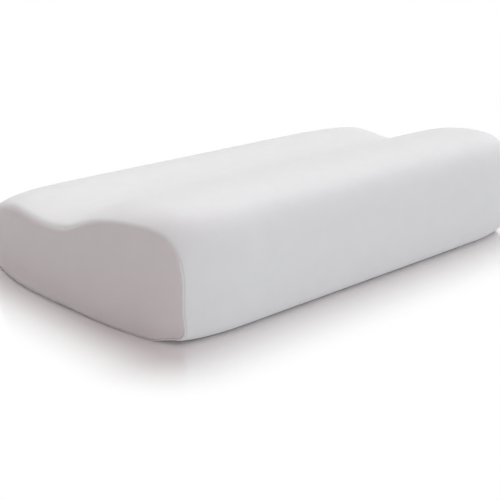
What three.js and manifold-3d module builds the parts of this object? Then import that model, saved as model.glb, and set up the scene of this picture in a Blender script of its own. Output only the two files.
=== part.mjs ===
// A contour bed pillow: a foam core with a high front lobe and a low back lobe, an inner
// liner, and a removable zipped cover. Millimetres, +Z up, the high lobe faces -Y, the
// length runs along X, and the pillow lies on the plane z = 0.
import * as THREE from 'three';
import { mergeVertices } from 'three/addons/utils/BufferGeometryUtils.js';
import Module from 'manifold-3d';

const wasm = await Module();
wasm.setup();

// ---- driving dimensions ----
const LENGTH = 600;
const WIDTH = 380;
const FRONT_HEIGHT = 132;
const BACK_HEIGHT = 99;
const VALLEY_HEIGHT = 93;
const FRONT_CREST_Y = -136;
const VALLEY_Y = 30;
const BACK_CREST_Y = 105;
const FRONT_WALL_Z = 70; // height at which the front wall is furthest forward
const ZIP_Z = 44; // height of the zip on the back wall
const ZIP_BAND = 28; // flat upright band of the back wall that carries the zip
const BASE_FRONT_Y = -165; // flat underside, front and back limits
const BASE_BACK_Y = 158;
const FRONT_EDGE_R = 7; // end edges: tight round the front lobe, soft behind it
const BACK_EDGE_R = 15;

// ---- layers, as depths below the outer surface ----
const COVER_THICKNESS = 1.6;
const LINER_DEPTH = 3.7;
const LINER_THICKNESS = 0.7;
const CORE_DEPTH = 4.9;

// ---- shaping towards the ends, beyond the straight middle ----
const STRAIGHT_HALF = 204;
const WALL_PULL_IN = 11; // front and back walls draw in this far at the end faces
const CREST_DROP = 0.085; // share of its height that the top loses at the end faces
const CORNER_SETBACK = 22; // end face corners stand back from the middle of the end face

// ---- zip ----
const SLOT_HALF_LENGTH = 190;
const SLOT_HALF_HEIGHT = 4.5;
const TAPE_THICKNESS = 0.5;
const TAPE_FRONT = -1.9; // levels below are measured outwards from the back wall
const TAPE_HALF_LENGTH = 196;
const TAPE_INNER = 1.6;
const TAPE_OUTER = 12.6;
const COIL_BACK = -1.6;
const COIL_FRONT = -0.1;
const COIL_INNER = 0.2;
const COIL_OUTER = 2.5;
const SLIDER_X = 180;
const SLIDER_LENGTH = 10;
const PLATE_TOP = 1.2;
const PIVOT_RISE = 1.0; // pull tab's pivot above the slider's top plate
const BRIDGE_THICKNESS = 0.7;
const STOP_LENGTH = 2.6;
const GAP = 0.3;
const PROUD = PLATE_TOP + 2 * PIVOT_RISE + BRIDGE_THICKNESS; // slider beyond the wall

const BACK_Y = WIDTH / 2;
const SLIDER_FRONT = SLIDER_X + SLIDER_LENGTH / 2;
const COIL_END = SLIDER_X + 0.9;
const COIL_START = -SLOT_HALF_LENGTH + 2 + STOP_LENGTH + GAP;

// ---- materials ----
const fabric = (color) => new THREE.MeshStandardMaterial({ color, roughness: 0.95, metalness: 0 });
const COVER_MATERIAL = () => fabric(0xf1f1f3);
const LINER_MATERIAL = () => fabric(0xe9e9e6);
const FOAM_MATERIAL = () => fabric(0xf3eedd);
const THREAD_MATERIAL = () => fabric(0xfafafa);
const METAL_MATERIAL = () =>
  new THREE.MeshStandardMaterial({ color: 0xd8d8dc, roughness: 0.35, metalness: 0.9 });
const COIL_MATERIAL = () =>
  new THREE.MeshStandardMaterial({ color: 0xf4f4f4, roughness: 0.5, metalness: 0 });

// ---- profile across the pillow, as (y, z) points with outward normals ----
// A span joins two points; each end's tangent is level ('h') or upright ('v'), and its
// handle is a share of the span's run or rise.
function span(from, to, startTangent, startHandle, endTangent, endHandle) {
  const [dy, dz] = [to[0] - from[0], to[1] - from[1]];
  const handle = (kind, share) => (kind === 'h' ? [dy * share, 0] : [0, dz * share]);
  const [a, b] = [handle(startTangent, startHandle), handle(endTangent, endHandle)];
  return new THREE.CubicBezierCurve(
    new THREE.Vector2(...from),
    new THREE.Vector2(from[0] + a[0], from[1] + a[1]),
    new THREE.Vector2(to[0] - b[0], to[1] - b[1]),
    new THREE.Vector2(...to),
  );
}

function line(from, to) {
  return new THREE.LineCurve(new THREE.Vector2(...from), new THREE.Vector2(...to));
}

function profileCurves() {
  const half = WIDTH / 2;
  const base = [BASE_FRONT_Y, 0];
  const front = [-half, FRONT_WALL_Z];
  const frontCrest = [FRONT_CREST_Y, FRONT_HEIGHT];
  const valley = [VALLEY_Y, VALLEY_HEIGHT];
  const backCrest = [BACK_CREST_Y, BACK_HEIGHT];
  const bandTop = [half, ZIP_Z + ZIP_BAND / 2];
  const slotTop = [half, ZIP_Z + SLOT_HALF_HEIGHT];
  const slotBottom = [half, ZIP_Z - SLOT_HALF_HEIGHT];
  const bandBottom = [half, ZIP_Z - ZIP_BAND / 2];
  const baseBack = [BASE_BACK_Y, 0];
  return [
    { curve: span(base, front, 'h', 0.62, 'v', 0.62), steps: 5 },
    { curve: span(front, frontCrest, 'v', 0.69, 'h', 0.69), steps: 6 },
    { curve: span(frontCrest, valley, 'h', 0.5, 'h', 0.45), steps: 6 },
    { curve: span(valley, backCrest, 'h', 0.45, 'h', 0.45), steps: 3 },
    { curve: span(backCrest, bandTop, 'h', 0.42, 'v', 0.5), steps: 5 },
    { curve: line(bandTop, slotTop), steps: 1 },
    { curve: line(slotTop, slotBottom), steps: 1, slot: true },
    { curve: line(slotBottom, bandBottom), steps: 1 },
    { curve: span(bandBottom, baseBack, 'v', 0.55, 'h', 0.55), steps: 4 },
    { curve: line(baseBack, base), steps: 6 },
  ];
}

function buildProfile() {
  const points = [];
  let slotIndex = -1;
  for (const { curve, steps, slot } of profileCurves()) {
    if (slot) slotIndex = points.length;
    for (let i = 0; i < steps; i += 1) {
      const at = curve.getPoint(i / steps);
      const along = curve.getTangent(i / steps);
      points.push({ y: at.x, z: at.y, ny: -along.y, nz: along.x, edge: edgeRadius(at.x) });
    }
  }
  return { points, slotIndex };
}

function edgeRadius(y) {
  const share = THREE.MathUtils.smoothstep(y, -110, -10);
  return THREE.MathUtils.lerp(FRONT_EDGE_R, BACK_EDGE_R, share);
}

const { points: PROFILE, slotIndex: SLOT_INDEX } = buildProfile();
const COUNT = PROFILE.length;

// The ends are shaped by one smooth map of space, so nested layers stay nested.
function shapeEnds(x, y, z) {
  const half = LENGTH / 2;
  const t = Math.max(0, (Math.abs(x) - STRAIGHT_HALF) / (half - STRAIGHT_HALF));
  const side = Math.abs(y) / (WIDTH / 2);
  return [
    x - Math.sign(x) * CORNER_SETBACK * side ** 2.6 * t ** 2,
    y * (1 - (WALL_PULL_IN / (WIDTH / 2)) * t ** 2.5),
    z * (1 - CREST_DROP * t ** 5),
  ];
}

// A station is a place along the length: { x } in the middle, or { end, angle } round the
// edge of an end, from 0 (the wall) to 90 degrees (the end face).
function stationPoint(index, station, depth) {
  const p = PROFILE[index % COUNT];
  let [x, inset] = [station.x, depth];
  if (station.end) {
    const radius = p.edge - depth;
    x = station.end * (LENGTH / 2 - p.edge + radius * Math.sin(station.angle));
    inset = depth + radius * (1 - Math.cos(station.angle));
  }
  return shapeEnds(x, p.y - p.ny * inset, p.z - p.nz * inset);
}

// A point of an end face: the face's outline drawn in towards its centre.
function facePoint(index, end, scale, depth) {
  const p = PROFILE[index % COUNT];
  const centre = [0, VALLEY_HEIGHT / 2];
  const y = centre[0] + (p.y - p.ny * p.edge - centre[0]) * scale;
  const z = centre[1] + (p.z - p.nz * p.edge - centre[1]) * scale;
  return shapeEnds(end * (LENGTH / 2 - depth), y, z);
}

// ---- mesh building: rings of COUNT points joined into one closed body ----
// Every layer splits its quads the same way, so its facets stay parallel to its neighbours'.
class Body {
  constructor() {
    this.vertices = [];
    this.faces = [];
  }
  ring(place) {
    const first = this.vertices.length;
    for (let i = 0; i < COUNT; i += 1) this.vertices.push(place(i));
    return Array.from({ length: COUNT }, (_, i) => first + i);
  }
  point(place) {
    this.vertices.push(place);
    return this.vertices.length - 1;
  }
  triangle(a, b, c, reversed) {
    this.faces.push(reversed ? [a, c, b] : [a, b, c]);
  }
  // skin between two rings; skip(i) leaves out the strip that starts at point i
  join(from, to, reversed = false, skip = () => false) {
    for (let i = 0; i < COUNT; i += 1) {
      if (skip(i)) continue;
      const j = (i + 1) % COUNT;
      this.triangle(from[i], from[j], to[j], reversed);
      this.triangle(from[i], to[j], to[i], reversed);
    }
  }
  fan(ring, centre, reversed) {
    for (let i = 0; i < COUNT; i += 1) {
      this.triangle(ring[i], ring[(i + 1) % COUNT], centre, reversed);
    }
  }
  // a closed body faces out when its signed volume is positive
  geometry() {
    const at = (k) => new THREE.Vector3(...this.vertices[k]);
    let volume = 0;
    for (const [a, b, c] of this.faces) volume += at(a).dot(at(b).cross(at(c)));
    const faces = volume < 0 ? this.faces.map(([a, b, c]) => [a, c, b]) : this.faces;
    const geometry = new THREE.BufferGeometry();
    geometry.setAttribute('position', new THREE.Float32BufferAttribute(this.vertices.flat(), 3));
    geometry.setIndex(faces.flat());
    return finished(geometry);
  }
}

function finished(geometry) {
  const plain = geometry.toNonIndexed();
  plain.computeVertexNormals();
  return plain;
}

const RIGHT_ANGLE = Math.PI / 2;
const SEAM_ANGLE = Math.PI / 4;
const RIB_RADIUS = 0.9;
const RIB_SLOT = RIB_RADIUS + GAP;
const MIDDLE_STATIONS = [-275, -250, -228, -SLOT_HALF_LENGTH, SLOT_HALF_LENGTH, 228, 250, 275];
const FACE_SCALES = [0.68, 0.34];

const seamStation = (end, shift, index) => ({
  end,
  angle: SEAM_ANGLE + shift / PROFILE[index % COUNT].edge,
});

// rings along the wrap, from the left seam to the right one
function wrapRings(body, depth, seamGap) {
  const rim = (end) => body.ring((i) => stationPoint(i, seamStation(end, -seamGap, i), depth));
  const turn = (end) => body.ring((i) => stationPoint(i, { end, angle: 0 }, depth));
  const middle = MIDDLE_STATIONS.map((x) => body.ring((i) => stationPoint(i, { x }, depth)));
  return [rim(-1), turn(-1), ...middle, turn(1), rim(1)];
}

function wrapSkin(body, rings, reversed, skip) {
  for (let k = 0; k < rings.length - 1; k += 1) {
    body.join(rings[k], rings[k + 1], reversed, (i) => skip(k, i));
  }
}

// Wrap panel: a sleeve round the profile, open at both ends, which stop short of the seam.
function wrapPanel(outerDepth, thickness, seamGap, withSlot) {
  const body = new Body();
  const outer = wrapRings(body, outerDepth, seamGap);
  const inner = wrapRings(body, outerDepth + thickness, seamGap);
  const slotRing = 2 + MIDDLE_STATIONS.indexOf(-SLOT_HALF_LENGTH);
  const inSlot = (k, i) => withSlot && k === slotRing && i === SLOT_INDEX;
  wrapSkin(body, outer, false, inSlot);
  wrapSkin(body, inner, true, inSlot);
  const last = outer.length - 1;
  body.join(inner[0], outer[0]);
  body.join(outer[last], inner[last]);
  if (withSlot) slotWalls(body, outer, inner, slotRing);
  return body.geometry();
}

function slotWalls(body, outer, inner, k) {
  const corners = [
    [k, SLOT_INDEX], [k, SLOT_INDEX + 1], [k + 1, SLOT_INDEX + 1], [k + 1, SLOT_INDEX],
  ];
  corners.forEach(([ring, point], n) => {
    const [nextRing, nextPoint] = corners[(n + 1) % corners.length];
    const [a, b] = [outer[ring][point], outer[nextRing][nextPoint]];
    const [c, d] = [inner[nextRing][nextPoint], inner[ring][point]];
    body.triangle(a, b, c);
    body.triangle(a, c, d);
  });
}

// the end face from a rim ring inwards, at one depth
function endSkin(body, rim, end, depth, reversed) {
  const edge = body.ring((i) => stationPoint(i, { end, angle: RIGHT_ANGLE }, depth));
  const face = FACE_SCALES.map((s) => body.ring((i) => facePoint(i, end, s, depth)));
  const rings = [rim, edge, ...face];
  for (let k = 0; k < rings.length - 1; k += 1) body.join(rings[k], rings[k + 1], reversed);
  body.fan(rings[rings.length - 1], body.point(facePoint(0, end, 0, depth)), reversed);
}

// End panel: the end face with its rounded rim, as a shallow dish.
function endPanel(end, outerDepth, thickness, seamGap) {
  const body = new Body();
  const innerDepth = outerDepth + thickness;
  const rim = (depth) => body.ring((i) => stationPoint(i, seamStation(end, seamGap, i), depth));
  const [outerRim, innerRim] = [rim(outerDepth), rim(innerDepth)];
  endSkin(body, outerRim, end, outerDepth, false);
  endSkin(body, innerRim, end, innerDepth, true);
  body.join(innerRim, outerRim);
  return body.geometry();
}

// Foam core: the whole closed form.
function foamCore() {
  const body = new Body();
  const rings = wrapRings(body, CORE_DEPTH, 0);
  wrapSkin(body, rings, false, () => false);
  endSkin(body, rings[0], -1, CORE_DEPTH, true);
  endSkin(body, rings[rings.length - 1], 1, CORE_DEPTH, false);
  return body.geometry();
}

// Seam rib: the bound edge between wrap panel and end panel, a round-edged ring.
function seamRib(end) {
  const body = new Body();
  const sides = 6;
  const rings = Array.from({ length: sides }, (_, k) => {
    const turn = (k / sides) * 2 * Math.PI;
    const [shift, rise] = [RIB_RADIUS * Math.cos(turn), RIB_RADIUS * Math.sin(turn)];
    return body.ring((i) => stationPoint(i, seamStation(end, shift, i), -rise * 0.9));
  });
  rings.forEach((ring, k) => body.join(ring, rings[(k + 1) % sides]));
  return body.geometry();
}

// ---- zip parts, in a frame whose origin is the zip line's middle on the back wall ----
function box(x0, x1, y0, y1, z0, z1) {
  const geometry = new THREE.BoxGeometry(x1 - x0, y1 - y0, z1 - z0);
  geometry.translate((x0 + x1) / 2, (y0 + y1) / 2, (z0 + z1) / 2);
  return geometry;
}

// an outline in (x, z), given an extent along y
function plate(outline, y0, y1, hole) {
  const shape = new THREE.Shape(outline.map(([x, z]) => new THREE.Vector2(x, z)));
  if (hole) shape.holes.push(new THREE.Path(hole.map(([x, z]) => new THREE.Vector2(x, z))));
  const geometry = new THREE.ExtrudeGeometry(shape, { depth: y1 - y0, bevelEnabled: false });
  geometry.rotateX(RIGHT_ANGLE);
  geometry.translate(0, y1, 0);
  return geometry;
}

// a section in (y, z), drawn out along x
function bar(section, x0, x1) {
  const shape = new THREE.Shape(section.map(([y, z]) => new THREE.Vector2(y, z)));
  const geometry = new THREE.ExtrudeGeometry(shape, { depth: x1 - x0, bevelEnabled: false });
  const axes = new THREE.Matrix4().makeBasis(
    new THREE.Vector3(0, 1, 0), new THREE.Vector3(0, 0, 1), new THREE.Vector3(1, 0, 0),
  );
  geometry.applyMatrix4(axes);
  geometry.translate(x0, 0, 0);
  return geometry;
}

function toManifold(geometry) {
  const bare = geometry.clone();
  bare.deleteAttribute('normal');
  bare.deleteAttribute('uv');
  const merged = mergeVertices(bare, 1e-4);
  return new wasm.Manifold(new wasm.Mesh({
    numProp: 3,
    vertProperties: new Float32Array(merged.attributes.position.array),
    triVerts: new Uint32Array(merged.index.array),
  }));
}

function union(geometries) {
  const solid = geometries.map(toManifold).reduce((sum, next) => sum.add(next));
  const mesh = solid.getMesh();
  const geometry = new THREE.BufferGeometry();
  geometry.setAttribute('position', new THREE.BufferAttribute(mesh.vertProperties, 3));
  geometry.setIndex(new THREE.BufferAttribute(mesh.triVerts, 1));
  return finished(geometry);
}

function zipTape(side) {
  const [low, high] = side > 0 ? [TAPE_INNER, TAPE_OUTER] : [-TAPE_OUTER, -TAPE_INNER];
  const back = TAPE_FRONT - TAPE_THICKNESS;
  return box(-TAPE_HALF_LENGTH, TAPE_HALF_LENGTH, back, TAPE_FRONT, low, high);
}

function zipCoil(side) {
  const bevel = 0.4;
  const section = [
    [COIL_BACK, side * COIL_INNER],
    [COIL_FRONT - bevel, side * COIL_INNER],
    [COIL_FRONT, side * (COIL_INNER + bevel)],
    [COIL_FRONT, side * (COIL_OUTER - bevel)],
    [COIL_FRONT - bevel, side * COIL_OUTER],
    [COIL_BACK, side * COIL_OUTER],
  ];
  return bar(section, COIL_START, COIL_END);
}

function sliderOutline(halfLength, halfWidth) {
  const shoulder = halfLength * 0.2;
  const tail = halfWidth * 0.8;
  const nose = halfWidth * 0.55;
  return [
    [-halfLength, -tail], [shoulder, -halfWidth], [halfLength * 0.8, -halfWidth],
    [halfLength, -nose], [halfLength, nose],
    [halfLength * 0.8, halfWidth], [shoulder, halfWidth], [-halfLength, tail],
  ];
}

function sliderBody() {
  const halfLength = SLIDER_LENGTH / 2;
  const halfWidth = 4;
  const plateBack = 0.2;
  const lowerFront = TAPE_FRONT - TAPE_THICKNESS - GAP;
  const lowerBack = lowerFront - 0.7;
  const flange = [3.1, 3.8];
  const flangeBack = -1.5;
  const bridgeHalf = 3.3;
  const bridgeLeg = 1.0;
  const bridgeTop = PROUD - BRIDGE_THICKNESS;
  const bridgeWidth = 1.0;
  const post = [[1.2, 0], [2.5, -1.2], [3.8, -0.6], [3.8, 0.6], [2.5, 1.2]];
  return union([
    plate(sliderOutline(halfLength, halfWidth), plateBack, PLATE_TOP),
    plate(sliderOutline(halfLength, halfWidth - 0.3), lowerBack, lowerFront),
    plate(post, lowerFront - 0.2, plateBack + 0.2),
    box(-3.4, 3.6, flangeBack, plateBack + 0.2, flange[0], flange[1]),
    box(-3.4, 3.6, flangeBack, plateBack + 0.2, -flange[1], -flange[0]),
    box(-bridgeHalf, -bridgeHalf + bridgeLeg, PLATE_TOP - 0.2, PROUD, -bridgeWidth, bridgeWidth),
    box(bridgeHalf - bridgeLeg, bridgeHalf, PLATE_TOP - 0.2, PROUD, -bridgeWidth, bridgeWidth),
    box(-bridgeHalf, bridgeHalf, bridgeTop, PROUD, -bridgeWidth, bridgeWidth),
  ]);
}

// Pull tab: a flat plate whose window holds the bridge; its top bar turns under the bridge.
function pullTab() {
  const barHalf = 0.5;
  const windowEnd = -4.3;
  const neck = 2.3;
  const broad = 3.2;
  const length = 24;
  const outline = [[barHalf, -neck], [barHalf, neck], [windowEnd, neck], [-8, broad]];
  const arcSteps = 6;
  for (let k = 0; k <= arcSteps; k += 1) {
    const turn = RIGHT_ANGLE + (k / arcSteps) * Math.PI;
    outline.push([-length + broad + broad * Math.cos(turn), broad * Math.sin(turn)]);
  }
  outline.push([-8, -broad], [windowEnd, -neck]);
  const hole = [[-barHalf, -1.5], [windowEnd, -1.5], [windowEnd, 1.5], [-barHalf, 1.5]];
  const rise = PLATE_TOP + PIVOT_RISE;
  return plate(outline, rise - barHalf, rise + barHalf, hole);
}

function topStop(side) {
  const [low, high] = side > 0 ? [0.4, COIL_OUTER] : [-COIL_OUTER, -0.4];
  const start = SLIDER_FRONT + GAP;
  return box(start, start + STOP_LENGTH, COIL_BACK, COIL_FRONT, low, high);
}

function bottomStop() {
  const end = COIL_START - GAP;
  return box(end - STOP_LENGTH, end, COIL_BACK, COIL_FRONT, -COIL_OUTER, COIL_OUTER);
}

function stitchRow(side) {
  const [near, far] = [6.5, 7.2];
  const [low, high] = side > 0 ? [near, far] : [-far, -near];
  return box(-TAPE_HALF_LENGTH, TAPE_HALF_LENGTH, GAP, 2 * GAP, low, high);
}

// Blank sewn-in label that hangs below the zip.
function careLabel() {
  const [left, right, top, drop] = [-160, -122, -8.5, 26];
  return box(left, right, GAP, 2.4 * GAP, top - drop, top);
}

// ---- assembly ----
const pillow = new THREE.Group();

function add(name, geometry, material, parent = pillow) {
  const mesh = new THREE.Mesh(geometry, material);
  mesh.name = name;
  parent.add(mesh);
  return mesh;
}

const LINER_GAP = 0.3;
add('foam_core', foamCore(), FOAM_MATERIAL());
add('liner_wrap', wrapPanel(LINER_DEPTH, LINER_THICKNESS, LINER_GAP, false), LINER_MATERIAL());
add('cover_wrap_panel', wrapPanel(0, COVER_THICKNESS, RIB_SLOT, true), COVER_MATERIAL());
for (const [side, end] of [['left', -1], ['right', 1]]) {
  add(`liner_end_${side}`, endPanel(end, LINER_DEPTH, LINER_THICKNESS, LINER_GAP), LINER_MATERIAL());
  add(`cover_end_panel_${side}`, endPanel(end, 0, COVER_THICKNESS, RIB_SLOT), COVER_MATERIAL());
  add(`end_seam_rib_${side}`, seamRib(end), THREAD_MATERIAL());
}

const zip = new THREE.Group();
zip.position.set(0, BACK_Y, ZIP_Z);
pillow.add(zip);
for (const [side, sign] of [['upper', 1], ['lower', -1]]) {
  add(`zip_tape_${side}`, zipTape(sign), THREAD_MATERIAL(), zip);
  add(`zip_coil_${side}`, zipCoil(sign), COIL_MATERIAL(), zip);
  add(`zip_top_stop_${side}`, topStop(sign), METAL_MATERIAL(), zip);
  add(`zip_stitch_row_${side}`, stitchRow(sign), THREAD_MATERIAL(), zip);
}
add('zip_bottom_stop', bottomStop(), METAL_MATERIAL(), zip);
add('care_label', careLabel(), THREAD_MATERIAL(), zip);

const slider = new THREE.Group();
slider.position.set(SLIDER_X, 0, 0);
zip.add(slider);
add('zip_slider_body', sliderBody(), METAL_MATERIAL(), slider);
add('zip_pull_tab', pullTab(), METAL_MATERIAL(), slider);

// the slider stands proud of the back wall, so half of that centres the whole outline
pillow.position.y = -PROUD / 2;

export default pillow;
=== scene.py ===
import math

import bpy
import numpy as np
from mathutils import Matrix, Vector, kdtree


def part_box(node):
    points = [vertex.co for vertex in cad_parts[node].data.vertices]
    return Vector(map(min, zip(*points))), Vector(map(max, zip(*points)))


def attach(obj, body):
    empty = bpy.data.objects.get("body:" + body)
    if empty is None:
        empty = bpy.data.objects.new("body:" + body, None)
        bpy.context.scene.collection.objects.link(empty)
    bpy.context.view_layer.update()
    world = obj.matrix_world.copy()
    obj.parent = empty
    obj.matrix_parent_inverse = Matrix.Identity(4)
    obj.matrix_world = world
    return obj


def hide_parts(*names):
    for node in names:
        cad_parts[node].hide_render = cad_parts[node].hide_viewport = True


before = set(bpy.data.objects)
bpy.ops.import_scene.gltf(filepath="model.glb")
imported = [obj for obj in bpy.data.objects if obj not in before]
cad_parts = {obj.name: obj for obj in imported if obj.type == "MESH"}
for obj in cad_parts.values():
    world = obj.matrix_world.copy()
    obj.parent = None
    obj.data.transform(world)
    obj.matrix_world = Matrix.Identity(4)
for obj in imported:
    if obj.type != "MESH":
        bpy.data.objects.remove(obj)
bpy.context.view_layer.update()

# ---------------------------------------------------------------- sizes, in millimetres
# The CAD parts in model.glb give the pillow's overall size and the zip's place. Shapes are worked out in
# millimetres, with y measured from the middle of the pillow's width, and become metres in
# make_mesh().
MM = 0.001


def cad_box(node):
    low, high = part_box(node)
    return low / MM, high / MM


WRAP_LOW, WRAP_HIGH = cad_box("cover_wrap_panel")
HALF_LENGTH = cad_box("cover_end_panel_right")[1].x
HALF_WIDTH = (WRAP_HIGH.y - WRAP_LOW.y) / 2
MIDDLE_Y = (WRAP_HIGH.y + WRAP_LOW.y) / 2
FRONT_HEIGHT = WRAP_HIGH.z

# profile across the pillow
BACK_HEIGHT = 97.8
VALLEY_HEIGHT = 93.9
FRONT_CREST_Y = -140.0
VALLEY_Y = 40.0
BACK_CREST_Y = 97.0
FRONT_WALL_Z = 71.0
BASE_FRONT_Y = -170.0
BASE_BACK_Y = 159.5

# end edges, tight round the front lobe and soft behind it, and the end faces
FRONT_EDGE_R = 4.0
BACK_EDGE_R = 9.0
STRAIGHT_HALF = 204.0
WALL_PULL_IN = 10.4
CREST_DROP = 0.123
BACK_CREST_DROP = {-1: 0.099, 1: 0.073}  # at the left and right ends
CORNER_SETBACK = 24.8
FOOT_BULGE = 5.0  # end faces stand out this far at the floor
FRONT_CORNER_LIFT = 4.6  # bottom front corners hang clear of the floor
FRONT_CORNER_TUCK = 6.0  # and the end seam draws them in
FRONT_CORNER_SQUARE = 3.5  # so the wall drops almost straight to the floor there
VALLEY_FILL = {-1: 3.4, 1: -1.0}  # the valley's rise at the left and right ends

# where that shaping acts, as middles and reaches across y, or heights
FOOT_BULGE_Y, FOOT_BULGE_REACH, FOOT_BULGE_TOP = 60, 90, 30
BACK_DROP_START, BACK_DROP_FULL = 0, 90
VALLEY_FILL_REACH = 45
VALLEY_FILL_LOW, VALLEY_FILL_HIGH = 20, 90
CORNER_TOP = 45
TUCK_START, TUCK_FULL = 146, 172  # towards the front
SQUARE_START, SQUARE_FULL = 120, 170

# layers, as depths below the cover's face
COVER_THICKNESS = 1.6
LINER_DEPTH = 3.7
LINER_THICKNESS = 0.7
CORE_DEPTH = 4.9

# zip, with levels measured outwards from the back wall
TAPE_LOW, TAPE_HIGH = cad_box("zip_tape_upper")
COIL_LOW, COIL_HIGH = cad_box("zip_coil_upper")
ZIP_Z = (cad_box("zip_tape_lower")[0].z + TAPE_HIGH.z) / 2
ZIP_BAND = 28.0
SLOT_HALF_HEIGHT = 4.5
SLOT_HALF_LENGTH = 190.0
STITCH_LINE = 6.85
TAPE_HALF_LENGTH = TAPE_HIGH.x
TAPE_INNER, TAPE_OUTER = TAPE_LOW.z - ZIP_Z, TAPE_HIGH.z - ZIP_Z
TAPE_LEVEL = TAPE_HIGH.y - WRAP_HIGH.y
COIL_LEVEL = (COIL_LOW.y + COIL_HIGH.y) / 2 - WRAP_HIGH.y

SEAM_ANGLE = math.radians(45)
RIGHT_ANGLE = math.pi / 2
TURN = 2 * math.pi


# ---------------------------------------------------------------- profile and ends
def smoothstep(low, high, value):
    t = np.clip((value - low) / (high - low), 0, 1)
    return t * t * (3 - 2 * t)


def hump(value, middle, reach):
    """A smooth bump of height 1 round a middle value."""
    return np.exp(-(((value - middle) / reach) ** 2))


def span(start, end, start_tangent, start_share, end_tangent, end_share):
    """A Bezier span in (y, z). Each end's tangent is level ('h') or upright ('v')."""
    start, end = np.array(start, float), np.array(end, float)
    run = end - start
    along = {"h": np.array([1.0, 0.0]), "v": np.array([0.0, 1.0])}
    a = start + run * along[start_tangent] * start_share
    b = end - run * along[end_tangent] * end_share
    t = np.linspace(0, 1, 200)[:, None]
    return (1 - t) ** 3 * start + 3 * (1 - t) ** 2 * t * a + 3 * (1 - t) * t * t * b + t**3 * end


def line(start, end):
    return np.linspace(start, end, 50)


def even(points, step):
    """Points at even spacing along a fine polyline, its last point left out."""
    walked = np.concatenate([[0], np.cumsum(np.linalg.norm(np.diff(points, axis=0), axis=1))])
    count = max(1, round(walked[-1] / step))
    places = np.arange(count) / count * walked[-1]
    return np.column_stack([np.interp(places, walked, points[:, k]) for k in (0, 1)])


def outline_stretches():
    """The outline from the flat underside's front edge, over the top, down to the zip band."""
    front, crest = (-HALF_WIDTH, FRONT_WALL_Z), (FRONT_CREST_Y, FRONT_HEIGHT)
    valley, back_crest = (VALLEY_Y, VALLEY_HEIGHT), (BACK_CREST_Y, BACK_HEIGHT)
    band_top = (HALF_WIDTH, ZIP_Z + ZIP_BAND / 2)
    return [
        span((BASE_FRONT_Y, 0), front, "h", 0.8, "v", 0.79),
        span(front, crest, "v", 0.73, "h", 0.71),
        span(crest, valley, "h", 0.56, "h", 0.45),
        span(valley, back_crest, "h", 0.54, "h", 0.4),
        span(back_crest, band_top, "h", 0.3, "v", 0.36),
    ]


class Profile:
    """The closed outline across the pillow, with outward normals and end edge radii."""

    def __init__(self, step, hem=()):
        before = np.concatenate([even(points, step) for points in outline_stretches()])
        heights = [ZIP_BAND / 2, *[SLOT_HALF_HEIGHT + rise for rise in hem], SLOT_HALF_HEIGHT]
        band = [*heights, 0, *[-height for height in reversed(heights)]]
        after = span((HALF_WIDTH, ZIP_Z - ZIP_BAND / 2), (BASE_BACK_Y, 0), "v", 0.55, "h", 0.55)
        base = line((BASE_BACK_Y, 0), (BASE_FRONT_Y, 0))
        points = np.concatenate([
            before,
            [(HALF_WIDTH, ZIP_Z + height) for height in band[:-1]],
            even(after, step),
            even(base, step),
        ])
        self.y, self.z = points[:, 0], points[:, 1]
        self.zip_line = len(before) + len(heights)
        self.count = len(points)
        tangent = np.roll(points, -1, 0) - np.roll(points, 1, 0)
        tangent /= np.linalg.norm(tangent, axis=1)[:, None]
        self.ny, self.nz = -tangent[:, 1], tangent[:, 0]
        front_to_back = smoothstep(-110, -10, self.y)
        self.edge = FRONT_EDGE_R + (BACK_EDGE_R - FRONT_EDGE_R) * front_to_back
        self.seam_strength = 0.08 + 0.92 * self.uprightness()
        walked = np.cumsum(np.linalg.norm(np.diff(points, axis=0), axis=1))
        self.walked = np.concatenate([[0], walked])

    def uprightness(self):
        """1 on the front and back walls and below, 0 over the top."""
        front = 1 - smoothstep(78, 118, self.z)
        back = 1 - smoothstep(60, 92, self.z)
        return np.where(self.y < 0, front, back)


def shape_ends(x, y, z):
    """One smooth map of space shapes the ends, so nested layers stay nested."""
    side = np.sign(x)
    t = np.maximum(0, (np.abs(x) - STRAIGHT_HALF) / (HALF_LENGTH - STRAIGHT_HALF))
    off_middle = np.abs(y) / HALF_WIDTH
    setback = CORNER_SETBACK * off_middle**2.9 * t**1.5
    at_foot = 1 - smoothstep(0, FOOT_BULGE_TOP, z)
    bulge = FOOT_BULGE * t**3 * hump(y, FOOT_BULGE_Y, FOOT_BULGE_REACH) * at_foot
    back_drop = np.where(side < 0, BACK_CREST_DROP[-1], BACK_CREST_DROP[1])
    towards_back = smoothstep(BACK_DROP_START, BACK_DROP_FULL, y)
    drop = CREST_DROP + (back_drop - CREST_DROP) * towards_back
    fill = np.where(side < 0, VALLEY_FILL[-1], VALLEY_FILL[1])
    near_top = smoothstep(VALLEY_FILL_LOW, VALLEY_FILL_HIGH, z)
    fill = fill * t**3 * hump(y, VALLEY_Y, VALLEY_FILL_REACH) * near_top
    low = 1 - smoothstep(0, CORNER_TOP, z)
    low_front = smoothstep(TUCK_START, TUCK_FULL, -y) * low
    setback = setback + FRONT_CORNER_TUCK * t**2 * low_front
    square = FRONT_CORNER_SQUARE * t**6 * smoothstep(SQUARE_START, SQUARE_FULL, -y) * low
    return np.stack(
        [
            x - side * (setback - bulge),
            y * (1 - WALL_PULL_IN / HALF_WIDTH * t**1.5) - square,
            z * (1 - drop * t**4) + fill + FRONT_CORNER_LIFT * t**4 * low_front,
        ],
        axis=-1,
    )


def edge_ring(profile, end, angle, depth=0.0):
    """Points round an end's rounded edge: angle 0 is the wrap, a right angle the end face."""
    radius = profile.edge - depth
    x = end * (HALF_LENGTH - profile.edge + radius * np.sin(angle))
    inset = depth + radius * (1 - np.cos(angle))
    return shape_ends(x, profile.y - profile.ny * inset, profile.z - profile.nz * inset)


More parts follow.
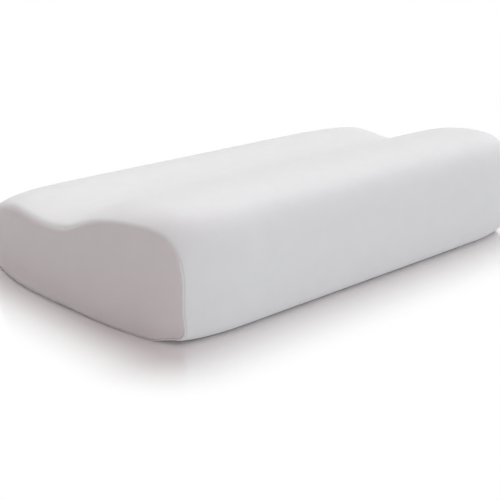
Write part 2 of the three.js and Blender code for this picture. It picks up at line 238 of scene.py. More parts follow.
def middle_ring(profile, x, depth=0.0):
    depth = depth + np.zeros(profile.count)
    across = np.full(profile.count, float(x))
    return shape_ends(across, profile.y - profile.ny * depth, profile.z - profile.nz * depth)


def face_ring(profile, end, scale, depth=0.0):
    """The end face's outline drawn in towards its centre."""
    centre_z = VALLEY_HEIGHT / 2
    y = (profile.y - profile.ny * profile.edge) * scale
    z = centre_z + (profile.z - profile.nz * profile.edge - centre_z) * scale
    return shape_ends(np.full(profile.count, end * (HALF_LENGTH - depth)), y, z)


# ---------------------------------------------------------------- meshes
def make_mesh(name, points, faces, cloth=None):
    """An object from points in millimetres. cloth holds each point's place in the fabric."""
    row = (np.asarray(points, float) + [0, MIDDLE_Y, 0]) * MM
    mesh = bpy.data.meshes.new(name)
    mesh.from_pydata(row.tolist(), [], [[int(v) for v in face] for face in faces])
    if cloth is not None:
        attribute = mesh.attributes.new("cloth", "FLOAT_VECTOR", "POINT")
        attribute.data.foreach_set("vector", (np.asarray(cloth, float) * MM).ravel())
    mesh.polygons.foreach_set("use_smooth", [True] * len(mesh.polygons))
    mesh.update()
    piece = bpy.data.objects.new(name, mesh)
    bpy.context.scene.collection.objects.link(piece)
    return piece


def grid_faces(rows, count, skip=None):
    """Quads between closed rings of count points; skip(k, i) leaves one out."""
    faces = []
    for k in range(rows - 1):
        for i in range(count):
            if skip and skip(k, i):
                continue
            j = (i + 1) % count
            faces.append((k * count + i, k * count + j, (k + 1) * count + j, (k + 1) * count + i))
    return faces


def strip_faces(rows, columns):
    """Quads between open rows of points."""
    return [
        (k * columns + i, k * columns + i + 1, (k + 1) * columns + i + 1, (k + 1) * columns + i)
        for k in range(rows - 1)
        for i in range(columns - 1)
    ]


def faces_out(piece):
    """Turns a closed or nearly closed mesh so that its faces point out."""
    mesh = piece.data
    middle = sum((v.co for v in mesh.vertices), Vector()) / len(mesh.vertices)
    volume = sum((face.center - middle).dot(face.normal) * face.area for face in mesh.polygons)
    if volume < 0:
        mesh.flip_normals()
    return piece


def thicken(piece, thickness, offset=-1):
    """Cloth of a real thickness; an offset of -1 grows it inwards from the given face."""
    solid = piece.modifiers.new("thickness", "SOLIDIFY")
    solid.thickness = thickness * MM
    solid.offset = offset
    return piece


def tubes(paths, radius, sides=6):
    """Points and faces of closed round tubes along paths, with their ends drawn in."""
    points, faces = [], []
    turns = np.arange(sides) * TURN / sides
    for path in paths:
        path = np.asarray(path, float)
        ahead = np.gradient(path, axis=0)
        ahead /= np.linalg.norm(ahead, axis=1)[:, None]
        side = np.cross(ahead, [0.13, 0.31, 0.94])
        side /= np.linalg.norm(side, axis=1)[:, None]
        over = np.cross(ahead, side)
        reach = np.full(len(path), radius)
        reach[[0, -1]] = radius * 0.35
        first = len(points)
        for k in range(len(path)):
            ring = path[k] + reach[k] * (
                np.outer(np.cos(turns), side[k]) + np.outer(np.sin(turns), over[k])
            )
            points.extend(ring)
        last = first + (len(path) - 1) * sides
        faces += [[v + first for v in face] for face in grid_faces(len(path), sides)]
        faces.append([first + i for i in range(sides)][::-1])
        faces.append([last + i for i in range(sides)])
    return np.array(points), faces


def finish_piece(piece, body, slot, material, *replaced):
    piece.data.materials.clear()
    piece.data.materials.append(material)
    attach(piece, body)
    if replaced:
        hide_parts(*replaced)
    return piece


# ---------------------------------------------------------------- materials
class Shader:
    """A Principled material with helpers for procedural patterns."""

    def __init__(self, name, color, roughness, **sockets):
        self.material = bpy.data.materials.new(name)
        self.material.use_nodes = True
        self.tree = self.material.node_tree
        self.bsdf = self.tree.nodes["Principled BSDF"]
        self.bsdf.inputs["Base Color"].default_value = (*color, 1)
        self.bsdf.inputs["Roughness"].default_value = roughness
        for socket, value in sockets.items():
            self.bsdf.inputs[socket.replace("_", " ")].default_value = value

    def node(self, kind, **settings):
        made = self.tree.nodes.new("ShaderNode" + kind)
        for name, value in settings.items():
            setattr(made, name, value)
        return made

    def link(self, source, target):
        self.tree.links.new(source, target)

    def math(self, operation, a, b=0.0):
        made = self.node("Math", operation=operation)
        for socket, value in zip(made.inputs, (a, b)):
            if isinstance(value, (int, float)):
                socket.default_value = value
            else:
                self.link(value, socket)
        return made.outputs[0]

    def add(self, a, b):
        return self.math("ADD", a, b)

    def times(self, a, b):
        return self.math("MULTIPLY", a, b)

    def split(self, vector):
        made = self.node("SeparateXYZ")
        self.link(vector, made.inputs[0])
        return made.outputs["X"], made.outputs["Y"], made.outputs["Z"]

    def noise(self, vector, scale, detail=3.0):
        made = self.node("TexNoise")
        made.inputs["Scale"].default_value = scale
        made.inputs["Detail"].default_value = detail
        self.link(vector, made.inputs["Vector"])
        return made.outputs["Fac"]

    def cells(self, vector, scale):
        made = self.node("TexVoronoi")
        made.inputs["Scale"].default_value = scale
        self.link(vector, made.inputs["Vector"])
        return made.outputs["Distance"]

    def wave(self, value, period):
        """A sine of a length, from -1 to 1, with a period in metres."""
        return self.math("SINE", self.times(value, TURN / period))

    def bump(self, height, distance, strength=1.0):
        made = self.node("Bump")
        made.inputs["Distance"].default_value = distance
        made.inputs["Strength"].default_value = strength
        self.link(height, made.inputs["Height"])
        self.link(made.outputs["Normal"], self.bsdf.inputs["Normal"])

    def ramp(self, factor, low, high, socket):
        made = self.node("ValToRGB")
        made.color_ramp.elements[0].color = (*low, 1)
        made.color_ramp.elements[1].color = (*high, 1)
        self.link(factor, made.inputs["Fac"])
        self.link(made.outputs["Color"], self.bsdf.inputs[socket])

    def tone(self, factor, low, high):
        """Base colour from one colour to another by a factor."""
        self.ramp(factor, low, high, "Base Color")

    def roughen(self, factor, low, high):
        self.ramp(factor, (low,) * 3, (high,) * 3, "Roughness")

    def cloth_place(self):
        return self.node("Attribute", attribute_name="cloth").outputs["Vector"]

    def object_place(self):
        return self.node("TexCoord").outputs["Object"]


def knit_pattern(shader, place, wale, course):
    """Rows of V loops: wales run along the fabric's Y, courses along its X."""
    x, y, _ = shader.split(place)
    across = shader.math("PINGPONG", shader.times(x, 1 / wale), 0.5)
    slant = shader.add(shader.times(y, 1 / course), shader.times(across, 1.3))
    loops = shader.math("SINE", shader.times(slant, TURN))
    ridge = shader.math("SINE", shader.times(across, TURN))
    return shader.times(shader.add(loops, 1.4), ridge)


def knit_material(name, low, high):
    """Fine brushed knit between two tones: small V loops under a short soft nap."""
    shader = Shader(name, high, 0.92, Sheen_Weight=0.25, Sheen_Roughness=0.6)
    shader.bsdf.inputs["Specular IOR Level"].default_value = 0.2
    place = shader.cloth_place()
    knit = knit_pattern(shader, place, 0.0011, 0.0008)
    nap = shader.noise(place, 900.0, 4.0)
    soft = shader.noise(place, 45.0, 3.0)
    height = shader.add(shader.times(knit, 0.4), nap)
    shader.bump(shader.add(height, shader.times(soft, 1.5)), 0.00012, 0.6)
    tone = shader.add(shader.times(nap, 0.5), shader.times(soft, 0.5))
    shader.tone(tone, low, high)
    shader.roughen(nap, 0.86, 0.98)
    return shader.material


def jersey_material():
    """The liner's thin plain jersey, a little creamier than the cover."""
    shader = Shader("liner_jersey", (0.74, 0.74, 0.71), 0.9, Sheen_Weight=0.15)
    place = shader.cloth_place()
    knit = knit_pattern(shader, place, 0.0007, 0.0006)
    fuzz = shader.noise(place, 1400.0)
    shader.bump(shader.add(shader.times(knit, 0.5), fuzz), 0.00008, 0.7)
    shader.tone(fuzz, (0.70, 0.70, 0.67), (0.78, 0.78, 0.75))
    return shader.material


def foam_material():
    """Memory foam: a skin of open pores, pale cream, with slow colour drift."""
    shader = Shader("memory_foam", (0.84, 0.78, 0.62), 0.95)
    place = shader.object_place()
    pores = shader.cells(place, 700.0)
    drift = shader.noise(place, 18.0)
    shader.bump(shader.add(pores, shader.noise(place, 2500.0)), 0.0003, 0.8)
    tone = shader.add(shader.times(pores, 0.6), shader.times(drift, 0.5))
    shader.tone(tone, (0.72, 0.66, 0.50), (0.88, 0.83, 0.68))
    return shader.material


def thread_material():
    """Twisted sewing thread: slanting strands with a slight gloss."""
    shader = Shader("seam_thread", (0.88, 0.88, 0.89), 0.6, Sheen_Weight=0.2)
    x, y, z = shader.split(shader.object_place())
    twist = shader.add(x, shader.add(shader.times(y, 0.9), shader.times(z, 0.7)))
    fuzz = shader.noise(shader.object_place(), 1800.0)
    shader.bump(shader.add(shader.wave(twist, 0.0006), fuzz), 0.00008, 0.7)
    shader.tone(fuzz, (0.84, 0.84, 0.85), (0.93, 0.93, 0.94))
    shader.roughen(fuzz, 0.5, 0.75)
    return shader.material


def tape_material():
    """Zip tape: herringbone of slanting ribs that turn at every wale."""
    shader = Shader("zip_tape", (0.8, 0.8, 0.8), 0.75, Sheen_Weight=0.2)
    x, _, z = shader.split(shader.object_place())
    fold = shader.math("PINGPONG", shader.times(z, 1 / 0.0018), 0.5)
    slant = shader.add(shader.times(x, 1 / 0.0007), shader.times(fold, 2.2))
    ribs = shader.math("SINE", shader.times(slant, TURN))
    fuzz = shader.noise(shader.object_place(), 1600.0)
    shader.bump(shader.add(shader.times(ribs, 0.6), fuzz), 0.00009, 0.8)
    shader.tone(shader.add(shader.times(ribs, 0.2), fuzz), (0.72, 0.72, 0.73), (0.84, 0.84, 0.85))
    return shader.material


def coil_material():
    """Polyester monofilament: smooth, slightly clear, scuffed here and there."""
    shader = Shader("zip_coil", (0.82, 0.82, 0.83), 0.3, Coat_Weight=0.15)
    scuff = shader.noise(shader.object_place(), 260.0, 5.0)
    shader.roughen(scuff, 0.2, 0.5)
    shader.tone(scuff, (0.78, 0.78, 0.80), (0.86, 0.86, 0.87))
    shader.bump(scuff, 0.00002, 0.5)
    return shader.material


def metal_material():
    """Nickel-plated zinc: fine tumbling marks, duller in patches."""
    shader = Shader("zip_metal", (0.66, 0.66, 0.68), 0.25, Metallic=1.0)
    place = shader.object_place()
    tumbled = shader.noise(place, 900.0, 6.0)
    patches = shader.noise(place, 140.0)
    shader.roughen(shader.add(shader.times(tumbled, 0.4), shader.times(patches, 0.6)), 0.12, 0.45)
    shader.tone(patches, (0.58, 0.58, 0.60), (0.72, 0.72, 0.74))
    shader.bump(tumbled, 0.00002, 0.6)
    return shader.material


def satin_material():
    """Label ribbon: satin floats along its length, with a soft sheen."""
    shader = Shader("label_satin", (0.86, 0.86, 0.86), 0.38, Sheen_Weight=0.3, Anisotropic=0.5)
    x, _, z = shader.split(shader.object_place())
    weave = shader.times(shader.wave(x, 0.00035), shader.wave(z, 0.0011))
    uneven = shader.noise(shader.object_place(), 120.0)
    shader.bump(weave, 0.00004, 0.6)
    shader.tone(uneven, (0.80, 0.80, 0.81), (0.90, 0.90, 0.90))
    shader.roughen(uneven, 0.3, 0.5)
    return shader.material


# ---------------------------------------------------------------- cover, simulated
SIM_VOXEL = 6.0
SIM_FRAMES = 20
SIM_CAP = 1.5  # mm that the cloth may move off its pattern
SIM_EASE = 10.0  # a simulated move this long is shown at half the cap
SIM_START = 1.2  # mm that the body is drawn in before it swells
SIM_PRESSURE = 4.0
SIM_STRETCH_STIFFNESS = 40.0
SIM_BEND_STIFFNESS = 0.6
SIM_SHRINK = -0.012  # below zero, so the cloth is cut a little large
SIM_NEIGHBOURS = 6  # cloth points that each point of the cover follows
SIM_BLUR = 1.5  # mm added to their distances, so that none counts alone


def sim_body():
    """A closed, slightly slack body of the cover for the cloth to swell from."""
    profile = Profile(6.0)
    places = np.linspace(-HALF_LENGTH + 12, HALF_LENGTH - 12, 97)
    angles = np.linspace(0, RIGHT_ANGLE, 4)
    rings = [edge_ring(profile, -1, angle, SIM_START) for angle in angles[::-1]]
    rings += [middle_ring(profile, x, SIM_START) for x in places]
    rings += [edge_ring(profile, 1, angle, SIM_START) for angle in angles]
    faces = grid_faces(len(rings), profile.count)
    last = (len(rings) - 1) * profile.count
    faces.append(list(range(profile.count)))
    faces.append([last + i for i in range(profile.count)][::-1])
    return faces_out(make_mesh("cover_cloth", np.array(rings).reshape(-1, 3), faces))


def apply_modifiers(piece):
    """Bakes a piece's modifiers into its mesh."""
    shown = piece.evaluated_get(bpy.context.evaluated_depsgraph_get())
    mesh = bpy.data.meshes.new_from_object(shown)
    piece.modifiers.clear()
    piece.data = mesh


def pin_weights(points):
    """The cloth is held at the end seams, along the zip and on the underside."""
    seam = smoothstep(HALF_LENGTH - 22, HALF_LENGTH - 8, np.abs(points[:, 0]) + 9)
    zip_band = smoothstep(HALF_WIDTH - 9, HALF_WIDTH - 3, points[:, 1])
    zip_band = zip_band * (1 - smoothstep(8, 16, np.abs(points[:, 2] - ZIP_Z)))
    under = 1 - smoothstep(3, 9, points[:, 2])
    return np.clip(np.maximum.reduce([seam * 0.6, zip_band, under]), 0, 1)


def mesh_points(mesh):
    flat = np.empty(len(mesh.vertices) * 3)
    mesh.vertices.foreach_get("co", flat)
    return flat.reshape(-1, 3) / MM - [0, MIDDLE_Y, 0]


def mesh_normals(mesh):
    flat = np.empty(len(mesh.vertices) * 3)
    mesh.vertices.foreach_get("normal", flat)
    return flat.reshape(-1, 3)


def simulate_cover():
    """How the cover's cloth settles off its pattern: a tree of points, and their moves."""
    body = sim_body()
    remesh = body.modifiers.new("remesh", "REMESH")
    remesh.mode = "VOXEL"
    remesh.voxel_size = SIM_VOXEL * MM
    apply_modifiers(body)
    rest, outward = mesh_points(body.data), mesh_normals(body.data)
    held = pin_weights(rest)
    pins = body.vertex_groups.new(name="pins")
    for index, weight in enumerate(held):
        pins.add([index], float(weight), "REPLACE")
    cloth = body.modifiers.new("cloth", "CLOTH").settings
    cloth.vertex_group_mass = "pins"
    cloth.use_pressure = True
    cloth.uniform_pressure_force = SIM_PRESSURE
    cloth.effector_weights.gravity = 0.0
    cloth.tension_stiffness = SIM_STRETCH_STIFFNESS
    cloth.compression_stiffness = SIM_STRETCH_STIFFNESS
    cloth.bending_stiffness = SIM_BEND_STIFFNESS
    cloth.shrink_min = SIM_SHRINK
    scene = bpy.context.scene
    for step in range(1, SIM_FRAMES + 1):
        scene.frame_set(step)
    apply_modifiers(body)
    moves = mesh_points(body.data) - rest - outward * (SIM_START * (1 - held))[:, None]
    scene.frame_set(1)
    bpy.data.objects.remove(body)
    length = np.linalg.norm(moves, axis=1)
    moves *= (SIM_CAP / (length + SIM_EASE))[:, None]
    tree = kdtree.KDTree(len(rest))
    for index, point in enumerate(rest):
        tree.insert(point, index)
    tree.balance()
    return tree, moves


def swell(points):
    """Moves points with the simulated cloth, and keeps them above the floor."""
    moved = points.copy()
    if SIMULATED:
        tree, moves = SIMULATED
        for index, point in enumerate(points):
            found = tree.find_n(point, SIM_NEIGHBOURS)
            weights = np.array([1 / (distance + SIM_BLUR) for _, _, distance in found])
            near = moves[[where for _, where, _ in found]]
            moved[index] += weights @ near / weights.sum()
    moved[:, 2] = np.maximum(moved[:, 2], 0)
    return moved


# ---------------------------------------------------------------- cover
GROOVE_DEPTH = 1.75
GROOVE_WIDTH = 1.6
PUCKER = 0.18
PUCKER_PITCH = 9.0


def seam_groove(profile, angle):
    """How far the cloth dips where the end seam draws it in, puckering a little."""
    away = profile.edge * abs(angle - SEAM_ANGLE)
    waver = 1 + PUCKER * np.sin(TURN * profile.walked / PUCKER_PITCH)
    return GROOVE_DEPTH * profile.seam_strength * waver * hump(away, 0, GROOVE_WIDTH)


def rim_angles(start, end):
    """Angles round an end's edge, closer together beside the seam."""
    away = np.linspace(0, 1, 8) ** 1.6
    return SEAM_ANGLE + (start - SEAM_ANGLE) * away[::-1], SEAM_ANGLE + (end - SEAM_ANGLE) * away


def middle_places(step):
    """Stations along the straight part, with one at each end of the zip's slot."""
    slot = np.linspace(-SLOT_HALF_LENGTH, SLOT_HALF_LENGTH, round(2 * SLOT_HALF_LENGTH / step) + 1)
    reach = HALF_LENGTH - BACK_EDGE_R - 1.0
    outer = np.linspace(SLOT_HALF_LENGTH, reach, round((reach - SLOT_HALF_LENGTH) / step) + 1)[1:]
    return np.concatenate([-outer[::-1], slot, outer])


# relief of the back wall beside the zip, as depths, lines off the zip and widths
STITCH_DIP, STITCH_DIP_WIDTH = 0.3, 0.8
HEM_ROLL, HEM_ROLL_LINE, HEM_ROLL_WIDTH = 0.15, 5.4, 0.6
CLOSING_DIP, CLOSING_DIP_WIDTH = 0.7, 1.2


def hem_dip(profile, x):
    """The back wall dips along the zip's stitching and, past its ends, along the closing seam."""
    from_zip = np.abs(profile.z - ZIP_Z)
    on_band = (profile.y > HALF_WIDTH - 0.5) & (from_zip < ZIP_BAND / 2)
    stitched = STITCH_DIP * hump(from_zip, STITCH_LINE, STITCH_DIP_WIDTH)
    rolled = -HEM_ROLL * hump(from_zip, HEM_ROLL_LINE, HEM_ROLL_WIDTH)
    seam = CLOSING_DIP * hump(from_zip, 0, CLOSING_DIP_WIDTH) * (abs(x) > SLOT_HALF_LENGTH + 1)
    return np.where(on_band, stitched + rolled + seam, 0)


HEM_ROWS = (8.0, 5.5, 3.6, 2.9, 2.35, 1.8, 1.2, 0.7, 0.3)


def cover_wrap(knit):
    profile = Profile(5.0, hem=HEM_ROWS)
    places = middle_places(4.75)
    to_seam, _ = rim_angles(0, RIGHT_ANGLE)
    rings = [edge_ring(profile, -1, angle, seam_groove(profile, angle)) for angle in to_seam[::-1]]
    rings += [middle_ring(profile, x, hem_dip(profile, x)) for x in places]
    rings += [edge_ring(profile, 1, angle, seam_groove(profile, angle)) for angle in to_seam]
    first = len(to_seam) + int(np.argmin(np.abs(places + SLOT_HALF_LENGTH)))
    last = len(to_seam) + int(np.argmin(np.abs(places - SLOT_HALF_LENGTH)))

    def in_slot(k, i):
        return first <= k < last and abs(i + 0.5 - profile.zip_line) < 1

    rings = np.array(rings)
    around = np.broadcast_to(profile.walked, rings.shape[:2])
    cloth = np.stack([rings[..., 0], around, 0 * around], -1).reshape(-1, 3)
    faces = grid_faces(len(rings), profile.count, in_slot)
    piece = make_mesh("cover_wrap", swell(rings.reshape(-1, 3)), faces, cloth)
    thicken(faces_out(piece), COVER_THICKNESS)
    return finish_piece(piece, "pillow", "cover_knit", knit, "cover_wrap_panel")


FACE_SCALES = (0.985, 0.96, 0.925, 0.88, 0.82, 0.74, 0.65, 0.55, 0.45, 0.35, 0.25, 0.15, 0.06)


def end_rings(profile, end, depth, angles):
    rings = [edge_ring(profile, end, angle, depth + seam_groove(profile, angle)) for angle in angles]
    return rings + [face_ring(profile, end, scale, depth) for scale in FACE_SCALES]


def end_sheet(name, end, rings, count):
    """A shell that closes one end, from rings that shrink towards its middle."""
    points = np.array(rings).reshape(-1, 3)
    faces = grid_faces(len(rings), count)
    faces.append([(len(rings) - 1) * count + i for i in range(count)])
    piece = make_mesh(name, points, faces, points[:, [1, 2, 0]])
    if piece.data.polygons[-1].normal.x * end < 0:
        piece.data.flip_normals()
    return piece


def cover_end(side, end, knit):
    profile = Profile(5.0)
    _, angles = rim_angles(0, RIGHT_ANGLE)
    rings = swell(np.array(end_rings(profile, end, 0, angles)).reshape(-1, 3))
    rings = rings.reshape(-1, profile.count, 3)
    piece = end_sheet(f"cover_end_{side}", end, rings, profile.count)
    thicken(piece, COVER_THICKNESS)
    # the knit passed in here is the end panels' copy, with a painted mauve shade tint in its colour
    return finish_piece(piece, "pillow", "cover_knit", knit, f"cover_end_panel_{side}")


RIB_RADIUS = 0.95
RIB_SIDES = 8
RIB_SUNK, RIB_RISE = 2.6, 2.2  # the rib's deepest place, and how far it rises on the walls


def seam_rib(side, end, thread):
    """The bound edge in the end seam: it stands up on the walls and sinks in over the top."""
    profile = Profile(2.5)
    depth = RIB_SUNK - RIB_RISE * profile.seam_strength
    rings = []
    for turn in np.arange(RIB_SIDES) * TURN / RIB_SIDES:
        angle = SEAM_ANGLE + RIB_RADIUS * math.cos(turn) / profile.edge
        rings.append(edge_ring(profile, end, angle, depth - RIB_RADIUS * math.sin(turn)))
    points = np.array(rings).reshape(-1, 3)
    faces = grid_faces(RIB_SIDES + 1, profile.count)
    wrapped = [[v % len(points) for v in face] for face in faces]
    piece = faces_out(make_mesh(f"end_seam_{side}", swell(points), wrapped))
    return finish_piece(piece, "pillow", "seam_thread", thread, f"end_seam_rib_{side}")


# ---------------------------------------------------------------- liner and core
def inner_rings(profile, depth, reach_angle, step=9.0):
    reach = HALF_LENGTH - BACK_EDGE_R - 2.0
    places = np.linspace(-reach, reach, round(2 * reach / step))
    angles = np.linspace(0, reach_angle, 5)
    rings = [edge_ring(profile, -1, angle, depth) for angle in angles[::-1]]
    rings += [middle_ring(profile, x, depth) for x in places]
    rings += [edge_ring(profile, 1, angle, depth) for angle in angles]
    return np.array(rings)


def liner(jersey):
    """The inner case: a sleeve and two ends of thin jersey, stretched over the core."""
    profile = Profile(8.0)
    rings = inner_rings(profile, LINER_DEPTH, SEAM_ANGLE)
    around = np.broadcast_to(profile.walked, rings.shape[:2])
    cloth = np.stack([rings[..., 0], around, 0 * around], -1).reshape(-1, 3)
    sleeve = make_mesh("liner_sleeve", rings.reshape(-1, 3), grid_faces(len(rings), profile.count), cloth)
    thicken(faces_out(sleeve), LINER_THICKNESS)
    finish_piece(sleeve, "pillow", "liner_jersey", jersey, "liner_wrap")
    for side, end in (("left", -1), ("right", 1)):
        angles = np.linspace(SEAM_ANGLE, RIGHT_ANGLE, 4)
        rings = [edge_ring(profile, end, angle, LINER_DEPTH) for angle in angles]
        rings += [face_ring(profile, end, scale, LINER_DEPTH) for scale in FACE_SCALES]
        cap = end_sheet(f"liner_cap_{side}", end, rings, profile.count)
        thicken(cap, LINER_THICKNESS)
        finish_piece(cap, "pillow", "liner_jersey", jersey, f"liner_end_{side}")


def core(foam):
    """The moulded foam block that gives the pillow its shape."""
    profile = Profile(7.0)
    rings = inner_rings(profile, CORE_DEPTH, RIGHT_ANGLE)
    left = [face_ring(profile, -1, scale, CORE_DEPTH) for scale in reversed(FACE_SCALES)]
    right = [face_ring(profile, 1, scale, CORE_DEPTH) for scale in FACE_SCALES]
    rings = np.concatenate([left, rings, right])
    faces = grid_faces(len(rings), profile.count)
    last = (len(rings) - 1) * profile.count
    faces.append(list(range(profile.count))[::-1])
    faces.append([last + i for i in range(profile.count)])
    piece = faces_out(make_mesh("core", rings.reshape(-1, 3), faces))
    return finish_piece(piece, "pillow", "memory_foam", foam, "foam_core")


# ---------------------------------------------------------------- zip
def on_back(points):
    """Points given as (x, level off the back wall, height above the zip line)."""
    return np.asarray(points, float) + [0, HALF_WIDTH, ZIP_Z]


TAPE_THICKNESS = 0.45
TAPE_STEPS = (0, 0.25, 0.7, 1.1, 1.5, 2.2, 4.5, 8.0, 11.0)  # from the tape's inner edge
TAPE_CORD = (-0.1, 0.12, 0.2, 0.12, 0.0, 0.0, 0.0, 0.0, 0.0)  # and how far its face rises there


def zip_tape(side, up, tape):
    """A woven strip with a corded inner edge and a thin flat outer part."""
    heights = np.array(TAPE_STEPS) + TAPE_INNER
    levels = np.array(TAPE_CORD) + TAPE_LEVEL
    places = np.linspace(-TAPE_HALF_LENGTH, TAPE_HALF_LENGTH, 99)
    points = [[(x, level, up * height) for height, level in zip(heights, levels)] for x in places]
    points = on_back(points).reshape(-1, 3)
    piece = make_mesh(f"tape_{side}", points, strip_faces(len(places), len(heights)))
    if piece.data.polygons[0].normal.y < 0:
        piece.data.flip_normals()
    thicken(piece, TAPE_THICKNESS)
    return finish_piece(piece, "pillow", "zip_tape", tape, f"zip_tape_{side}")


COIL_PITCH = 1.3
COIL_MIDDLE, COIL_HALF_HEIGHT, COIL_HALF_DEPTH = 1.25, 1.0, 0.45
COIL_HEAD = 0.25  # how much further a turn's head reaches towards the zip line
WIRE_RADIUS = 0.29
STEPS_PER_TURN = 12


def zip_coil(side, up, wire):
    """Half the zip: a flattened coil whose heads lock between the other half's."""
    start, end = COIL_LOW.x + WIRE_RADIUS, COIL_HIGH.x - WIRE_RADIUS
    turns = int((end - start) / COIL_PITCH)
    phase = 0.0 if up > 0 else math.pi
    angle = phase + np.arange(turns * STEPS_PER_TURN) * TURN / STEPS_PER_TURN
    across = np.cos(angle)
    head = np.maximum(0, -across) ** 3
    x = start + (angle - phase) / TURN * COIL_PITCH
    height = COIL_MIDDLE + COIL_HALF_HEIGHT * across - COIL_HEAD * head
    level = COIL_LEVEL + COIL_HALF_DEPTH * np.sin(angle)
    path = on_back(np.column_stack([x, level, up * height]))
    points, faces = tubes([path], WIRE_RADIUS)
    piece = faces_out(make_mesh(f"coil_{side}", points, faces))
    return finish_piece(piece, "pillow", "zip_coil", wire, f"zip_coil_{side}")


STITCH_PITCH = 3.0
STITCH_RADIUS = 0.27
TACK_RADIUS = 0.24
TACK_COUNT = 18
TACK_HEIGHT = 12


def stitch_run(start, end, pitch, place):
    """Single stitches from start to end, each dipping into the cloth. place maps to space."""
    paths = []
    for k in range(int((end - start) / pitch)):
        along = np.linspace(0.06, 0.94, 6)
        lift = 0.28 - 0.75 * np.abs(2 * along - 1) ** 5
        paths.append([place(start + (k + share) * pitch, rise) for share, rise in zip(along, lift)])
    return paths


def stitch_row(side, up, thread):
    def place(x, rise):
        return on_back((x, rise - 0.3, up * STITCH_LINE))

    paths = stitch_run(-TAPE_HALF_LENGTH, TAPE_HALF_LENGTH, STITCH_PITCH, place)
    points, faces = tubes(paths, STITCH_RADIUS)
    piece = make_mesh(f"stitches_{side}", points, faces)
    return finish_piece(piece, "pillow", "seam_thread", thread, f"zip_stitch_row_{side}")


def bar_tacks(thread):
    """Close zigzags that lock both ends of the zip's slot."""
    paths = []
    for end in (-1, 1):
        inner, outer = end * (SLOT_HALF_LENGTH + 0.6), end * (SLOT_HALF_LENGTH + 2.6)
        for k in range(TACK_COUNT):
            height = (k / (TACK_COUNT - 1) - 0.5) * TACK_HEIGHT
            wire = [
                (inner, -0.4, height),
                (inner, 0.25, height),
                (outer, 0.25, height + 0.35),
                (outer, -0.4, height + 0.35),
            ]
            paths.append([on_back(point) for point in wire])
    points, faces = tubes(paths, TACK_RADIUS)
    piece = make_mesh("zip_bar_tacks", points, faces)
    return finish_piece(piece, "pillow", "seam_thread", thread)


LABEL_THICKNESS = 0.25


def care_label(satin):
    """A blank ribbon label, sewn in under the zip and hanging in a slight curl."""
    low, high = cad_box("care_label")
    columns, rows = 20, 16
    points = []
    for k in range(rows):
        share = k / (rows - 1)
        for i in range(columns):
            x = low.x + (high.x - low.x) * i / (columns - 1)
            curl = 0.9 * share**2 + 0.25 * share * math.sin(5.0 * i / (columns - 1) + 1)
            points.append((x, low.y - MIDDLE_Y + 0.1 + curl, high.z - (high.z - low.z) * share))
    piece = make_mesh("label", points, strip_faces(rows, columns))
    thicken(piece, LABEL_THICKNESS, offset=0)
    return finish_piece(piece, "pillow", "label_satin", satin, "care_label")


def dress_metal(node, metal, width=0.14):
    """A cast zip part keeps its CAD shape, with its edges eased."""
    part = bpy.data.objects[node]
    part.data.materials.clear()
    part.data.materials.append(metal)
    bevel = part.modifiers.new("eased_edges", "BEVEL")
    bevel.width = width * MM
    bevel.segments = 2
    bevel.limit_method = "ANGLE"
    return part


# ---------------------------------------------------------------- camera, floor and light
VIEW_AZIMUTH, VIEW_ELEVATION, VIEW_ROLL = -43.24, 18.89, 0.22
VIEW_DISTANCE = 1266.4
VIEW_LENS = 73.32
VIEW_RIGHT, VIEW_UP = -14.8, -63.92  # how far the camera stands to the side of its aim
AIM = Vector((0, MIDDLE_Y, 60))


def make_camera():
    azimuth, elevation = math.radians(VIEW_AZIMUTH), math.radians(VIEW_ELEVATION)
    back = Vector((math.sin(azimuth) * math.cos(elevation),
                   -math.cos(azimuth) * math.cos(elevation),
                   math.sin(elevation)))
    right = (-back).cross(Vector((0, 0, 1))).normalized()
    turn = Matrix.Rotation(-math.radians(VIEW_ROLL), 3, -back)
    right = turn @ right
    up = right.cross(-back)
    camera = bpy.data.objects.new("camera", bpy.data.cameras.new("camera"))
    bpy.context.scene.collection.objects.link(camera)
    place = AIM + back * VIEW_DISTANCE + right * VIEW_RIGHT + up * VIEW_UP
    axes = Matrix((right, up, back)).transposed().to_4x4()
    camera.matrix_world = Matrix.Translation(place * MM) @ axes
    camera.data.lens = VIEW_LENS
    camera.data.clip_end = 100
    bpy.context.scene.camera = camera


FLOOR_GLOSS = 0.62  # share of the floor's light that it mirrors, softly
FLOOR_ROUGHNESS = 0.12
FLOOR_HALF_SIZE = 40.0
FLOOR_GLOW = 1.0
FOOT_HALF = (0.28, 0.173)  # the pillow's footprint, which its shade stays close to
SHADE_NEAR, SHADE_FAR = 0.015, 0.11


def away_from_foot(shader):
    """How far a point of the floor is from the pillow's footprint."""
    x, y, _ = shader.split(shader.object_place())
    squares = []
    for place, half in zip((x, y), FOOT_HALF):
        outside = shader.math("MAXIMUM", shader.math("SUBTRACT", shader.math("ABSOLUTE", place), half))
        squares.append(shader.times(outside, outside))
    return shader.math("SQRT", shader.add(*squares))


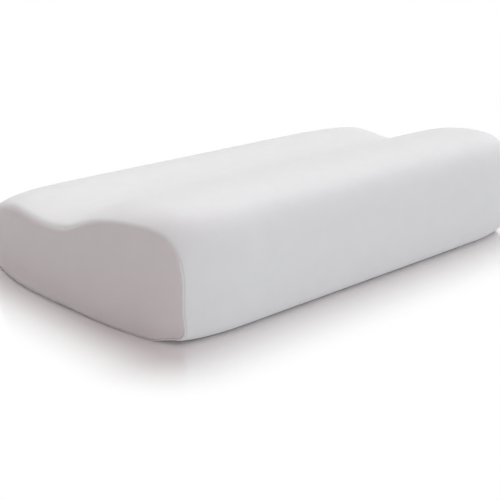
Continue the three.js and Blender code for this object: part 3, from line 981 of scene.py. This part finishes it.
def floor_material():
    """White with a satin gloss near the pillow, and lit to clear white further out."""
    shader = Shader("floor_white", (0.88, 0.86, 0.86), 1.0)
    shader.bsdf.inputs["Specular IOR Level"].default_value = 0
    gloss = shader.node("BsdfGlossy")
    gloss.inputs["Roughness"].default_value = FLOOR_ROUGHNESS
    gloss.inputs["Color"].default_value = (1, 1, 1, 1)
    satin = shader.node("MixShader")
    satin.inputs["Fac"].default_value = FLOOR_GLOSS
    shader.link(shader.bsdf.outputs[0], satin.inputs[1])
    shader.link(gloss.outputs[0], satin.inputs[2])
    fade = shader.node("MapRange", interpolation_type="SMOOTHSTEP")
    fade.inputs["From Min"].default_value = SHADE_NEAR
    fade.inputs["From Max"].default_value = SHADE_FAR
    shader.link(away_from_foot(shader), fade.inputs["Value"])
    glow = shader.node("Emission")
    glow.inputs["Strength"].default_value = FLOOR_GLOW
    lit = shader.node("MixShader")
    shader.link(fade.outputs[0], lit.inputs["Fac"])
    shader.link(satin.outputs[0], lit.inputs[1])
    shader.link(glow.outputs[0], lit.inputs[2])
    shader.link(lit.outputs[0], shader.tree.nodes["Material Output"].inputs["Surface"])
    return shader.material


def make_floor():
    size = FLOOR_HALF_SIZE
    mesh = bpy.data.meshes.new("floor")
    corners = [(-size, -size, 0), (size, -size, 0), (size, size, 0), (-size, size, 0)]
    mesh.from_pydata(corners, [], [(0, 1, 2, 3)])
    mesh.materials.append(floor_material())
    floor = bpy.data.objects.new("floor", mesh)
    bpy.context.scene.collection.objects.link(floor)


WORLD_STRENGTH = 1.12
WORLD_COLOR = (1.0, 0.95, 0.95)
SUNS = (  # name, direction it comes from, strength, spread in degrees, colour
    ("key", (0.33, 0.35, 1.0), 2.7, 66, (0.94, 1.0, 0.985)),
    ("front_top", (0.0, -0.5, 1.0), 1.0, 60, (1.0, 0.74, 0.76)),
    ("fill", (0.45, -1.0, 0.35), 0.8, 60, (0.7, 0.95, 1.0)),
)


def sun(name, direction, strength, angle, color):
    """A broad sun that shines from a direction and leaves no glint on the floor."""
    data = bpy.data.lights.new(name, "SUN")
    data.energy, data.angle, data.color = strength, math.radians(angle), color
    lamp = bpy.data.objects.new(name, data)
    bpy.context.scene.collection.objects.link(lamp)
    lamp.visible_glossy = False
    lamp.rotation_mode = "QUATERNION"
    lamp.rotation_quaternion = Vector(direction).to_track_quat("Z", "Y")


def make_world():
    """Pale all round where it is seen or mirrored, and dark to the pillow's own faces."""
    world = bpy.data.worlds.new("studio")
    bpy.context.scene.world = world
    world.use_nodes = True
    tree = world.node_tree
    background = tree.nodes["Background"]
    background.inputs["Color"].default_value = (*WORLD_COLOR, 1)
    path = tree.nodes.new("ShaderNodeLightPath")
    either = tree.nodes.new("ShaderNodeMath")
    either.operation = "MAXIMUM"
    tree.links.new(path.outputs["Is Camera Ray"], either.inputs[0])
    tree.links.new(path.outputs["Is Glossy Ray"], either.inputs[1])
    level = tree.nodes.new("ShaderNodeMath")
    level.operation = "MULTIPLY"
    level.inputs[1].default_value = WORLD_STRENGTH
    tree.links.new(either.outputs[0], level.inputs[0])
    tree.links.new(level.outputs[0], background.inputs["Strength"])


def make_light():
    for settings in SUNS:
        sun(*settings)
    make_world()
    bpy.context.scene.view_settings.view_transform = "Standard"


# ---------------------------------------------------------------- the scene
make_camera()
make_floor()
make_light()

SIMULATED = simulate_cover()
KNIT = knit_material("cover_knit", (0.76, 0.76, 0.77), (0.84, 0.836, 0.845))
# the end panels' knit carries a painted mauve shade tint: the tint of the shaded end faces, put into
# their colour
PAINTED_SHADE_END_KNIT = knit_material("cover_end_knit_painted_shade_tint", (0.76, 0.71, 0.718), (0.84, 0.782, 0.79))
JERSEY, FOAM = jersey_material(), foam_material()
THREAD, TAPE, COIL = thread_material(), tape_material(), coil_material()
METAL, SATIN = metal_material(), satin_material()

cover_wrap(KNIT)
liner(JERSEY)
core(FOAM)
for side_name, end_sign in (("left", -1), ("right", 1)):
    cover_end(side_name, end_sign, PAINTED_SHADE_END_KNIT)
    seam_rib(side_name, end_sign, THREAD)
for side_name, up_sign in (("upper", 1), ("lower", -1)):
    zip_tape(side_name, up_sign, TAPE)
    zip_coil(side_name, up_sign, COIL)
    stitch_row(side_name, up_sign, THREAD)
    dress_metal(f"zip_top_stop_{side_name}", METAL)
for metal_node in ("zip_bottom_stop", "zip_slider_body", "zip_pull_tab"):
    dress_metal(metal_node, METAL)
bar_tacks(THREAD)
care_label(SATIN)
